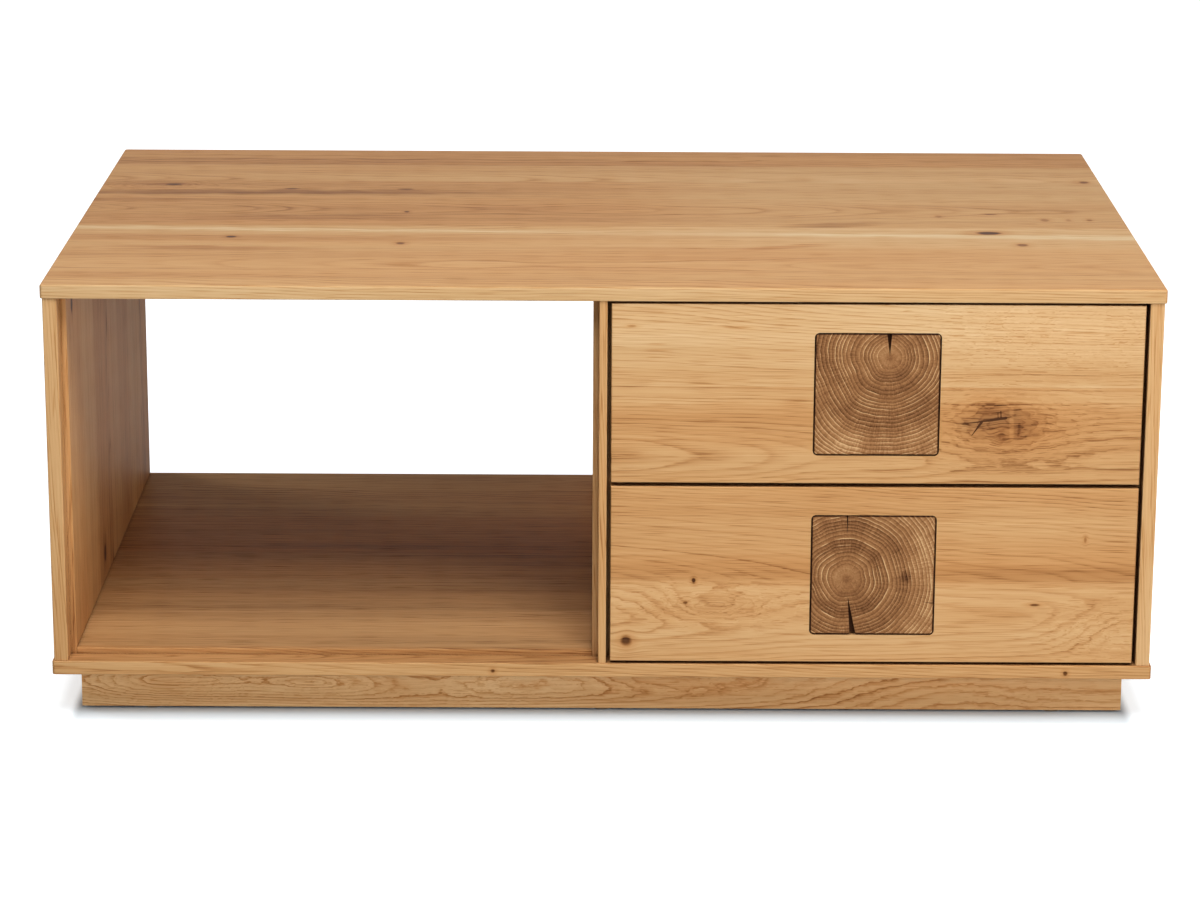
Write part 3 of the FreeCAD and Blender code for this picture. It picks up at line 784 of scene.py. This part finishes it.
def endgrain_tile(node, pith_right, pith_up, seed, sapwood_from, blotches=()):
    """End grain for one tile, with its pith at a place right of and above the tile's middle.

    A blotch has such a place too, then its size and how dark it is.
    """
    low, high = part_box(node)
    middle = (low + high) / 2
    material, tree, shader = new_material("endgrain_" + node)
    x, y, z = split(coordinates(tree))
    right = x - (middle.x + pith_right)
    up = z - (middle.z + pith_up)
    flat = join(right, up, y * 0.2)
    distance = (right * right + up * up).calc("SQRT")
    angle = up.calc("ARCTAN2", right)
    spoke = join(right / distance, up / distance, seed)

    lobes = swing(spoke, (1.1, 1.1, 1.0), detail=0.0)
    ripple = swing(flat, (60.0, 60.0, 9.0))
    radius = distance * (lobes * TILE_LOBES + 1.0) + ripple * TILE_RIPPLE
    uneven = swing(join(radius, seed, 0.0), (55.0, 1.0, 1.0))
    seasons = swing(join(radius, seed + 5.0, 0.0), (75.0, 1.0, 1.0))
    rings = radius / TILE_RING + uneven * TILE_UNEVEN
    in_ring = rings.calc("FRACT")
    strength = chance(rings.calc("FLOOR") + seed)
    patchy = fade(noise(flat, (52.0, 52.0, 9.0)), 0.30, 0.62)
    pale_line = ramp(in_ring, [(0.0, 0.1), (0.09, 1.0), (0.20, 0.25), (0.36, 0.0), (1.0, 0.1)])
    dark_line = ramp(in_ring, [(0.0, 1.0), (0.08, 0.0), (0.40, 0.0), (0.88, 0.8), (1.0, 1.0)])

    rays = swing(join(angle, radius, seed), (70.0, 45.0, 1.0), detail=1.0)
    dust = swing(flat, (620.0, 620.0, 9.0), detail=1.0)
    clouds = swing(flat, (24.0, 24.0, 9.0))
    sapwood = fade(radius, sapwood_from, sapwood_from + SAPWOOD_BLUR)
    pith = fade(distance, 0.008, 0.001)
    formed = fade(distance, 0.004, 0.026)
    inside_x = (x - middle.x).calc("ABSOLUTE")
    inside_z = (z - middle.z).calc("ABSOLUTE")
    from_middle = inside_x.calc("MAXIMUM", inside_z)
    half_tile = (high.x - low.x) / 2
    # painted shade: the tile's outer edge along its seam, and the faces sunk below its face inside the
    # checks, are darker
    rim = fade(from_middle, half_tile - TILE_EDGE, half_tile - TILE_EDGE / 3)
    sunk = fade(y, low.y + TILE_EDGE / 3, low.y + TILE_EDGE)
    seam_shade = rim.calc("MAXIMUM", sunk)

    tone = (clouds * TILE_CLOUDS + rays * TILE_RAYS + dust * TILE_DUST + seasons * TILE_SEASONS
            + sapwood * SAPWOOD_PALER - pith * PITH_DARKER
            + pale_line * patchy * formed * (strength * PORES_PALER + PORES_PALER_AT_LEAST)
            - dark_line * formed * LATE_WOOD_DARKER - seam_shade * SEAM_SHADE_DARKER + TILE_TONE)
    for offset_right, offset_up, size, dark in blotches:
        off = join(x - (middle.x + offset_right), z - (middle.z + offset_up), 0.0)
        spread = vector_calc("LENGTH", off, (0.0, 0.0, 0.0), "Value") + ripple * size
        tone = tone - fade(spread, size, size * 0.2) * dark
    feed(shader.inputs["Base Color"], ramp(tone, tile_tones))
    feed(shader.inputs["Roughness"], dust * 0.2 + 0.65)
    shader.inputs["Specular IOR Level"].default_value = OIL_GLOSS
    set_bump(tree, shader, pale_line * 0.6 + dust * 0.8)
    dress(node, material)
    print(f"{node}: rings of {TILE_RING * 1000:.1f} mm around the pith")


endgrain_tile("upper_endgrain_inlay", pith_right=0.0118, pith_up=0.0379, seed=3.0, sapwood_from=0.070)
endgrain_tile("lower_endgrain_inlay", pith_right=-0.0263, pith_up=-0.0038, seed=8.0, sapwood_from=0.056,
              blotches=[(0.033, -0.001, 0.008, 0.26)])

# %% [markdown]
# ## Plain woods inside
# Drawer boxes are of a quiet, pale wood, and the blocks in the plinth of softwood. They need grain that runs
# the right way, but no cathedrals or knots, so a lighter recipe will do: long streaks and fine fibres.

# %% Plain woods
def plain_wood(name, grain, pale, dark, lines):
    """A quiet wood with grain along one axis, and this many growth lines per metre across it."""
    material, tree, shader = new_material(name)
    place = coordinates(tree)
    def along_grain(long_way, across_way):
        return tuple(long_way if axis == grain else across_way for axis in "XYZ")
    streaks = noise(place, along_grain(1.2, lines))
    fibre = noise(place, along_grain(14.0, lines * 9), detail=3.0)
    clouds = noise(place, along_grain(3.0, 9.0))
    tone = streaks * 0.5 + fibre * 0.3 + clouds * 0.2
    feed(shader.inputs["Base Color"], ramp(tone, [(0.32, dark), (0.62, pale)]))
    feed(shader.inputs["Roughness"], fibre * 0.2 + 0.45)
    set_bump(tree, shader, fibre, strength=0.2)
    return material


box_pale, box_dark = paint(226, 194, 150), paint(204, 164, 116)
soft_pale, soft_dark = paint(222, 190, 142), paint(190, 146, 96)
box_wood = {axis: plain_wood("drawer_wood_" + axis, axis, box_pale, box_dark, 55.0) for axis in "XY"}
softwood = {axis: plain_wood("softwood_" + axis, axis, soft_pale, soft_dark, 38.0) for axis in "YZ"}
beech = plain_wood("beech", "Z", paint(214, 172, 130), paint(190, 142, 100), 90.0)

drawers = ("lower", "upper")
for drawer in drawers:
    for part in ("box_front", "box_back", "bottom"):
        dress(f"{drawer}_{part}", box_wood["X"])
    for part in ("box_left", "box_right"):
        dress(f"{drawer}_{part}", box_wood["Y"])
dress("plinth_brace", softwood["Y"])
dress("plinth_corner_blocks", softwood["Z"])
dress("carcass_dowels", beech)
print(f"{len(box_wood) + len(softwood) + 1} plain woods")

# %% [markdown]
# ## Steel, plastic and felt
# The runners are zinc plated steel strip, rolled lengthwise, so their sheen is drawn out along Y. The ball
# cages and push units are moulded plastic with a fine grain, and the glides are pressed wool felt.

# %% Steel, plastic and felt
def zinc_plate(name, drawn_out):
    material, tree, shader = new_material(name)
    place = coordinates(tree)
    brushed = noise(place, drawn_out, detail=3.0)
    spangle = noise(place, (240.0, 240.0, 240.0))
    feed(shader.inputs["Base Color"], ramp(brushed * 0.5 + spangle * 0.5,
                                           [(0.35, paint(150, 152, 155)), (0.65, paint(184, 186, 188))]))
    feed(shader.inputs["Roughness"], brushed * 0.22 + 0.24)
    shader.inputs["Metallic"].default_value = 1.0
    set_bump(tree, shader, brushed, depth=0.00005)
    return material


def moulded_plastic(name, pale, dark):
    material, tree, shader = new_material(name)
    grain = noise(coordinates(tree), (1600.0, 1600.0, 1600.0))
    feed(shader.inputs["Base Color"], ramp(grain, [(0.3, dark), (0.7, pale)]))
    feed(shader.inputs["Roughness"], grain * 0.2 + 0.42)
    set_bump(tree, shader, grain, depth=0.00008)
    return material


def pressed_felt(name, pale, dark):
    material, tree, shader = new_material(name)
    fuzz = noise(coordinates(tree), (2200.0, 2200.0, 2200.0), detail=3.0)
    feed(shader.inputs["Base Color"], ramp(fuzz, [(0.3, dark), (0.7, pale)]))
    shader.inputs["Roughness"].default_value = 0.95
    shader.inputs["Sheen Weight"].default_value = 0.3
    set_bump(tree, shader, fuzz, depth=0.0004)
    return material


strip_steel = zinc_plate("zinc_strip", (900.0, 8.0, 900.0))
screw_steel = zinc_plate("zinc_screw", (500.0, 500.0, 500.0))
cage_plastic = moulded_plastic("cage_plastic", paint(232, 231, 226), paint(214, 213, 208))
push_plastic = moulded_plastic("push_plastic", paint(92, 93, 96), paint(70, 71, 74))
dress("felt_glides", pressed_felt("pressed_felt", paint(122, 108, 92), paint(88, 76, 64)))
for drawer in drawers:
    for part in ("outer_cages", "inner_cages"):
        dress(f"{drawer}_{part}", cage_plastic)
    for side in ("left", "right"):
        for part in ("outer_rail", "middle_rail", "inner_rail"):
            dress(f"{drawer}_{side}_{part}", strip_steel)
        for part in ("push_unit", "push_rod"):
            dress(f"{drawer}_{side}_{part}", push_plastic)
print(f"{len(bpy.data.materials)} materials so far")

# %% [markdown]
# ## Screws with a cross recess
# Dozens of equal screws hold the runners, the plinth and the fronts. Copying a mesh by hand would do, but a
# Geometry Nodes tree keeps the sizes in one place: it builds one head and one shank, sets a copy on
# every point, and turns it to the direction that the point carries. First come the points, from the CAD
# model, where each screw is a plain stepped pin: its longest side is its axis, its wider end the head.

# %% Where the screws sit
def solids_of(node):
    """The separate solids of a CAD piece, each as an array of its corners."""
    shape = bmesh.new()
    shape.from_mesh(nodes[node].data)
    bmesh.ops.remove_doubles(shape, verts=shape.verts, dist=1e-6)
    seen = set()
    solids = []
    for first in shape.verts:
        if first in seen:
            continue
        seen.add(first)
        waiting = [first]
        corners = []
        while waiting:
            corner = waiting.pop()
            corners.append(corner.co[:])
            for edge in corner.link_edges:
                other = edge.other_vert(corner)
                if other not in seen:
                    seen.add(other)
                    waiting.append(other)
        solids.append(np.array(corners))
    shape.free()
    return solids


def screw_seat(corners):
    """The middle of a screw's head face, the way the head looks, and the screw's length."""
    low, high = corners.min(axis=0), corners.max(axis=0)
    axis = int(np.argmax(high - low))
    centre = (low + high) / 2
    off_axis = np.linalg.norm(np.delete(corners - centre, axis, axis=1), axis=1)
    upper_end = corners[:, axis] > centre[axis]
    looks_up = off_axis[upper_end].max() > off_axis[~upper_end].max()
    aim = np.zeros(3)
    aim[axis] = 1.0 if looks_up else -1.0
    centre[axis] = high[axis] if looks_up else low[axis]
    return centre, aim, high[axis] - low[axis]


print(f"{len(solids_of('runner_screws'))} screws hold the runners")

# %% [markdown]
# The head is half a ball, pressed flat, with two crossed slots cut out by a boolean. The shank is a rod of
# length 1 with a point, stretched to each screw's own length. So one tree fits long and short screws.

# %% The screw tree
HEAD_RADIUS, HEAD_HEIGHT, SHANK_RADIUS = 0.0036, 0.0017, 0.0020
SHANK_START, ROD_SHARE, TIP_SHARE = 0.8, 0.85, 0.15
# The cross recess, as shares of the head's radius and height
SLOT_LONG, SLOT_WIDE, SLOT_UP = 1.2, 0.24, 0.85
HEAD_SIDES, HEAD_RINGS, SHANK_SIDES = 20, 10, 14


def shape(tree, kind, inputs, **settings):
    """Add a node with these settings and inputs. Returns its first output."""
    node = tree.nodes.new(kind)
    for name, value in settings.items():
        setattr(node, name, value)
    for title, value in inputs.items():
        for part in value if isinstance(value, list) else [value]:
            feed(node.inputs[title], part)
    return Flow(node.outputs[0])


def make_screw_tree():
    tree, have, leave = start_group(
        "cross_screws",
        {"Geometry": "Geometry", "Head Radius": "Float", "Head Height": "Float", "Shank Radius": "Float",
         "Material": "Material"},
        {"Geometry": "Geometry"}, "GeometryNodeTree",
    )
    radius, height = have["Head Radius"], have["Head Height"]

    def block(wide, deep, tall, up):
        size = join(radius * wide, radius * deep, height * tall)
        cube = shape(tree, "GeometryNodeMeshCube", {"Size": size})
        lift = join(0.0, 0.0, height * up)
        return shape(tree, "GeometryNodeTransform", {"Geometry": cube, "Translation": lift})

    ball = shape(tree, "GeometryNodeMeshUVSphere",
                 {"Segments": HEAD_SIDES, "Rings": HEAD_RINGS, "Radius": 1.0})
    dome = shape(tree, "GeometryNodeTransform", {"Geometry": ball, "Scale": join(radius, radius, height)})
    lower_half = block(3.0, 3.0, 2.0, -1.0)
    slots = [block(SLOT_LONG, SLOT_WIDE, 1.0, SLOT_UP), block(SLOT_WIDE, SLOT_LONG, 1.0, SLOT_UP)]
    head = shape(tree, "GeometryNodeMeshBoolean", {"Mesh 1": dome, "Mesh 2": [lower_half, *slots]},
                 operation="DIFFERENCE", solver="EXACT")
    head = shape(tree, "GeometryNodeTransform",
                 {"Geometry": head, "Translation": join(0.0, 0.0, height * -1.0)})

    thin = have["Shank Radius"]
    rod = shape(tree, "GeometryNodeMeshCylinder",
                {"Vertices": SHANK_SIDES, "Radius": thin, "Depth": ROD_SHARE})
    rod = shape(tree, "GeometryNodeTransform", {"Geometry": rod, "Translation": (0.0, 0.0, -ROD_SHARE / 2)})
    tip = shape(tree, "GeometryNodeMeshCone",
                {"Vertices": SHANK_SIDES, "Radius Top": thin, "Radius Bottom": thin * 0.1,
                 "Depth": TIP_SHARE})
    tip = shape(tree, "GeometryNodeTransform", {"Geometry": tip, "Translation": (0.0, 0.0, -1.0)})
    shank = shape(tree, "GeometryNodeJoinGeometry", {"Geometry": [rod, tip]})

    aim = shape(tree, "GeometryNodeInputNamedAttribute", {"Name": "aim"}, data_type="FLOAT_VECTOR")
    length = shape(tree, "GeometryNodeInputNamedAttribute", {"Name": "length"}, data_type="FLOAT")
    turn = shape(tree, "FunctionNodeAlignRotationToVector", {"Vector": aim}, axis="Z")
    heads = shape(tree, "GeometryNodeInstanceOnPoints",
                  {"Points": have["Geometry"], "Instance": head, "Rotation": turn})
    inset = height * -SHANK_START
    under_head = shape(tree, "GeometryNodeSetPosition",
                       {"Geometry": have["Geometry"],
                        "Offset": vector_calc("MULTIPLY", aim, join(inset, inset, inset))})
    shanks = shape(tree, "GeometryNodeInstanceOnPoints",
                   {"Points": under_head, "Instance": shank, "Rotation": turn,
                    "Scale": join(1.0, 1.0, length + inset)})
    both = shape(tree, "GeometryNodeJoinGeometry", {"Geometry": [heads, shanks]})
    real = shape(tree, "GeometryNodeRealizeInstances", {"Geometry": both})
    feed(leave.inputs["Geometry"],
         shape(tree, "GeometryNodeSetMaterial", {"Geometry": real, "Material": have["Material"]}))
    return tree


screw_tree = make_screw_tree()
print(f"the screw tree has {len(screw_tree.nodes)} nodes")

# %% [markdown]
# A modifier runs the tree on the points. Its result is kept as a plain mesh, which rides on the body that
# its screws are driven into, and takes the place of the plain pins.

# %% Growing a piece from a tree
def grow(name, seed_mesh, tree, values, body):
    """Run a tree on a mesh and keep the result as a plain mesh that moves with a body."""
    source = bpy.data.objects.new(name + "_seed", seed_mesh)
    bpy.context.scene.collection.objects.link(source)
    modifier = source.modifiers.new("tree", "NODES")
    modifier.node_group = tree
    for item in tree.interface.items_tree:
        if item.name in values and item.in_out == "INPUT":
            modifier[item.identifier] = values[item.name]
    evaluated = source.evaluated_get(bpy.context.evaluated_depsgraph_get())
    piece = bpy.data.objects.new(name, bpy.data.meshes.new_from_object(evaluated))
    bpy.data.objects.remove(source)
    bpy.context.scene.collection.objects.link(piece)
    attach(piece, body)
    print(f"{name}: {len(piece.data.polygons)} faces, rides on {body}")
    return piece


def grow_screws(name, body, *screw_nodes):
    """Screws with a cross recess in the place of these CAD pins."""
    seats = [screw_seat(corners) for node in screw_nodes for corners in solids_of(node)]
    mesh = bpy.data.meshes.new(name + "_points")
    mesh.from_pydata([seat[0].tolist() for seat in seats], [], [])
    mesh.attributes.new("aim", "FLOAT_VECTOR", "POINT")
    mesh.attributes.new("length", "FLOAT", "POINT")
    for index, (_, aim, length) in enumerate(seats):
        mesh.attributes["aim"].data[index].vector = aim
        mesh.attributes["length"].data[index].value = length
    sizes = {"Head Radius": HEAD_RADIUS, "Head Height": HEAD_HEIGHT, "Shank Radius": SHANK_RADIUS,
             "Material": screw_steel}
    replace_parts(grow(name, mesh, screw_tree, sizes, body), *screw_nodes)


grow_screws("carcass_cross_screws", "carcass", "runner_screws", "plinth_screws")
for drawer in drawers:
    grow_screws(f"{drawer}_cross_screws", f"{drawer}_drawer", f"{drawer}_drawer_screws")

# %% [markdown]
# ## Balls in their cages
# Between the nested rails run rows of small steel balls, spaced by a plastic cage. A row is a path with
# something at every step, so this tree turns each cage's middle line into a curve, resamples it by
# the pitch and sets a ball on each point. A ball is a little thicker than its cage, so both its caps show.

# %% Steel balls
BALL_RADIUS, BALL_PITCH, CAGE_END = 0.00125, 0.011, 0.008


def make_ball_tree():
    tree, have, leave = start_group(
        "ball_rows",
        {"Geometry": "Geometry", "Ball Radius": "Float", "Pitch": "Float", "Material": "Material"},
        {"Geometry": "Geometry"}, "GeometryNodeTree",
    )
    paths = shape(tree, "GeometryNodeMeshToCurve", {"Mesh": have["Geometry"]})
    steps = shape(tree, "GeometryNodeResampleCurve", {"Curve": paths, "Length": have["Pitch"]}, mode="LENGTH")
    ball = shape(tree, "GeometryNodeMeshIcoSphere", {"Radius": have["Ball Radius"], "Subdivisions": 2})
    balls = shape(tree, "GeometryNodeInstanceOnPoints", {"Points": steps, "Instance": ball})
    real = shape(tree, "GeometryNodeRealizeInstances", {"Geometry": balls})
    feed(leave.inputs["Geometry"],
         shape(tree, "GeometryNodeSetMaterial", {"Geometry": real, "Material": have["Material"]}))
    return tree


def cage_lines(node):
    """A mesh with one edge along the middle of each cage strip, short of its ends."""
    ends = []
    for corners in solids_of(node):
        low, high = corners.min(axis=0), corners.max(axis=0)
        x, _, z = (low + high) / 2
        ends += [(x, low[1] + CAGE_END, z), (x, high[1] - CAGE_END, z)]
    mesh = bpy.data.meshes.new(node + "_lines")
    mesh.from_pydata(ends, [(index, index + 1) for index in range(0, len(ends), 2)], [])
    return mesh


ball_tree = make_ball_tree()
ball_sizes = {"Ball Radius": BALL_RADIUS, "Pitch": BALL_PITCH, "Material": screw_steel}
for drawer in drawers:
    for place in ("outer", "inner"):
        grow(f"{drawer}_{place}_balls", cage_lines(f"{drawer}_{place}_cages"), ball_tree, ball_sizes,
             f"{drawer}_{place}_cage_set")

# %% [markdown]
# ## The light and the ground
# A studio lights furniture with large soft boxes: a strong one high in front, which leaves the back of the
# open bay in shade, a weaker one low at the right, which reaches under the base, one at the right end and
# one at the left behind the table, so that no side is left dark, and a dim room around them. The ground is
# white to the camera, as a cut-out picture shows it, but still takes the table's shadow, because part
# of its white is light that it really receives.

# %% Soft boxes
def soft_box(name, place, target, width, height, watts):
    data = bpy.data.lights.new(name, "AREA")
    data.shape = "RECTANGLE"
    data.size = width
    data.size_y = height
    data.energy = watts
    lamp = bpy.data.objects.new(name, data)
    lamp.location = place
    lamp.rotation_euler = (Vector(target) - Vector(place)).to_track_quat("-Z", "Y").to_euler()
    bpy.context.scene.collection.objects.link(lamp)
    print(f"{name}: {watts:.0f} W from {(Vector(target) - Vector(place)).length:.1f} m away")


soft_box("key_box", (0.05, -1.75, 2.8), (0.0, -0.1, 0.3), 1.8, 1.4, 71.0)
soft_box("fill_box", (1.3, -3.3, 0.95), (0.0, -0.3, 0.25), 1.4, 1.2, 41.0)
soft_box("right_box", (3.2, -0.6, 1.4), (0.55, 0.0, 0.2), 1.2, 1.0, 36.0)
soft_box("rear_box", (-3.2, 2.0, 1.1), (-0.2, 0.1, 0.2), 1.2, 1.0, 52.0)

# %% [markdown]
# The room itself gives a little light from all around. To the camera, and in reflections, it is plain
# white: a Light Path node tells such rays from those that only carry light.

# %% The room
AMBIENT = 0.056


def seen_directly(tree):
    """1 for rays that come from the camera, a mirror or a glass, 0 for rays that carry light."""
    path = tree.nodes.new("ShaderNodeLightPath")
    seen = Flow(path.outputs["Is Camera Ray"])
    for kind in ("Is Glossy Ray", "Is Transmission Ray"):
        seen = seen.calc("MAXIMUM", Flow(path.outputs[kind]))
    return seen


world = bpy.data.worlds.new("studio")
world.use_nodes = True
bpy.context.scene.world = world
room = world.node_tree
room.nodes.clear()
backdrop = room.nodes.new("ShaderNodeBackground")
backdrop.inputs["Color"].default_value = (1.0, 1.0, 1.0, 1.0)
feed(backdrop.inputs["Strength"], seen_directly(room) * (1.0 - AMBIENT) + AMBIENT)
room.links.new(backdrop.outputs[0], room.nodes.new("ShaderNodeOutputWorld").inputs[0])
print(f"the room gives {AMBIENT:.3f} of full white")

# %% [markdown]
# The ground glows white for the camera, less so close to the plinth, where the table's own shadow has
# to stay readable, and less so in front, where the lamps make up for it unless an open drawer is in their
# way. The distance from the plinth comes from its box, so the glow follows the frame.

# %% Ground
GROUND_SIZE = 40.0
GROUND_COLOUR = (0.50, 0.56, 0.60)
NEAR_GLOW, FAR_GLOW = 0.66, 0.34
NEAR_REACH, FAR_REACH = 0.055, 0.20
SIDE_HASTE = 4.0
DRAWER_REACH, DRAWER_SIDE, DRAWER_SHADE = 0.7, 0.25, 0.85
plinth_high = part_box("plinth_right")[1]

ground_material, ground_tree, ground_shader = new_material("white_ground")
ground_x, ground_y, _ = split(coordinates(ground_tree))
aside = (ground_x.calc("ABSOLUTE") - plinth_high.x).calc("MAXIMUM", 0.0)
before = (ground_y.calc("ABSOLUTE") - plinth_high.y).calc("MAXIMUM", 0.0)
beside = aside * SIDE_HASTE
from_plinth = (beside * beside + before * before).calc("SQRT")
in_front = ground_y * -1.0 - plinth_high.y
under_drawers = (fade(in_front, 0.0, FAR_REACH) * fade(in_front, 2.0 * DRAWER_REACH, DRAWER_REACH)
                 * fade(aside, 2.0 * DRAWER_SIDE, DRAWER_SIDE))
far_glow = fade(from_plinth, NEAR_REACH, FAR_REACH) * (under_drawers * -DRAWER_SHADE + 1.0) * FAR_GLOW
glow = fade(from_plinth, 0.0, NEAR_REACH) * NEAR_GLOW + far_glow
ground_shader.inputs["Base Color"].default_value = (*GROUND_COLOUR, 1.0)
ground_shader.inputs["Roughness"].default_value = 0.9
ground_shader.inputs["Emission Color"].default_value = (1.0, 1.0, 1.0, 1.0)
feed(ground_shader.inputs["Emission Strength"], seen_directly(ground_tree) * glow)

half = GROUND_SIZE / 2
ground_mesh = bpy.data.meshes.new("ground")
ground_corners = [(-half, -half, 0), (half, -half, 0), (half, half, 0), (-half, half, 0)]
ground_mesh.from_pydata(ground_corners, [], [(0, 1, 2, 3)])
ground_mesh.materials.append(ground_material)
ground = bpy.data.objects.new("ground", ground_mesh)
bpy.context.scene.collection.objects.link(ground)
bpy.context.scene.view_settings.view_transform = "Standard"
print(f"a ground of {GROUND_SIZE:.0f} m, white from {FAR_REACH} m off the plinth")
